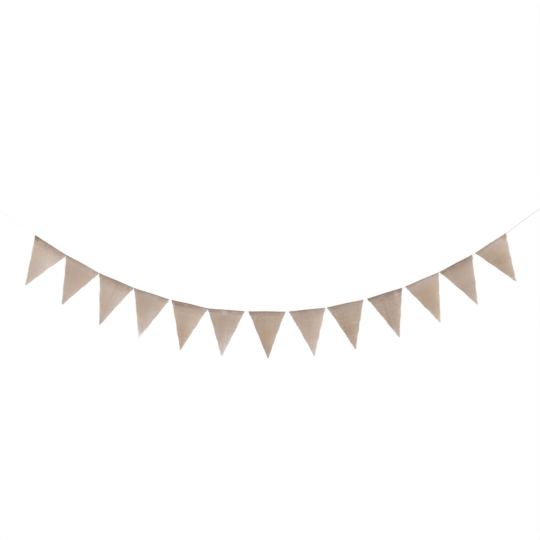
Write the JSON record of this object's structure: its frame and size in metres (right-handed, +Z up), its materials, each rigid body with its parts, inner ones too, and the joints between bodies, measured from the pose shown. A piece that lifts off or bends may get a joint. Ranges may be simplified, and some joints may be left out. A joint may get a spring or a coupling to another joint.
{
  "type": "fabric bunting",
  "caption": "Hanging fabric bunting: triangular hessian pennants folded over a sagging cotton string that ends in knotted loops.",
  "frame": {"origin": "hook point of the left hanging loop, where the string's loop rests on its hook", "axes": "+X along the bunting to the right hanging loop, +Y out of the back of the cloth (the front faces -Y), +Z up"},
  "size_m": [2.1686, 0.0214, 0.6106],
  "materials": {
    "hessian": "natural undyed jute in an open plain weave, matt",
    "cotton_string": "off-white twisted cotton, matt"
  },
  "bodies": {
    "root": {"pennant_01": "hessian", "pennant_02": "hessian", "pennant_03": "hessian", "pennant_04": "hessian", "pennant_05": "hessian", "pennant_06": "hessian", "pennant_07": "hessian", "pennant_08": "hessian", "pennant_09": "hessian", "pennant_10": "hessian", "pennant_11": "hessian", "pennant_12": "hessian", "pennant_13": "hessian", "string": "cotton_string", "hang_loop_left": "cotton_string", "hang_loop_right": "cotton_string"}
  },
  "joints": []
}
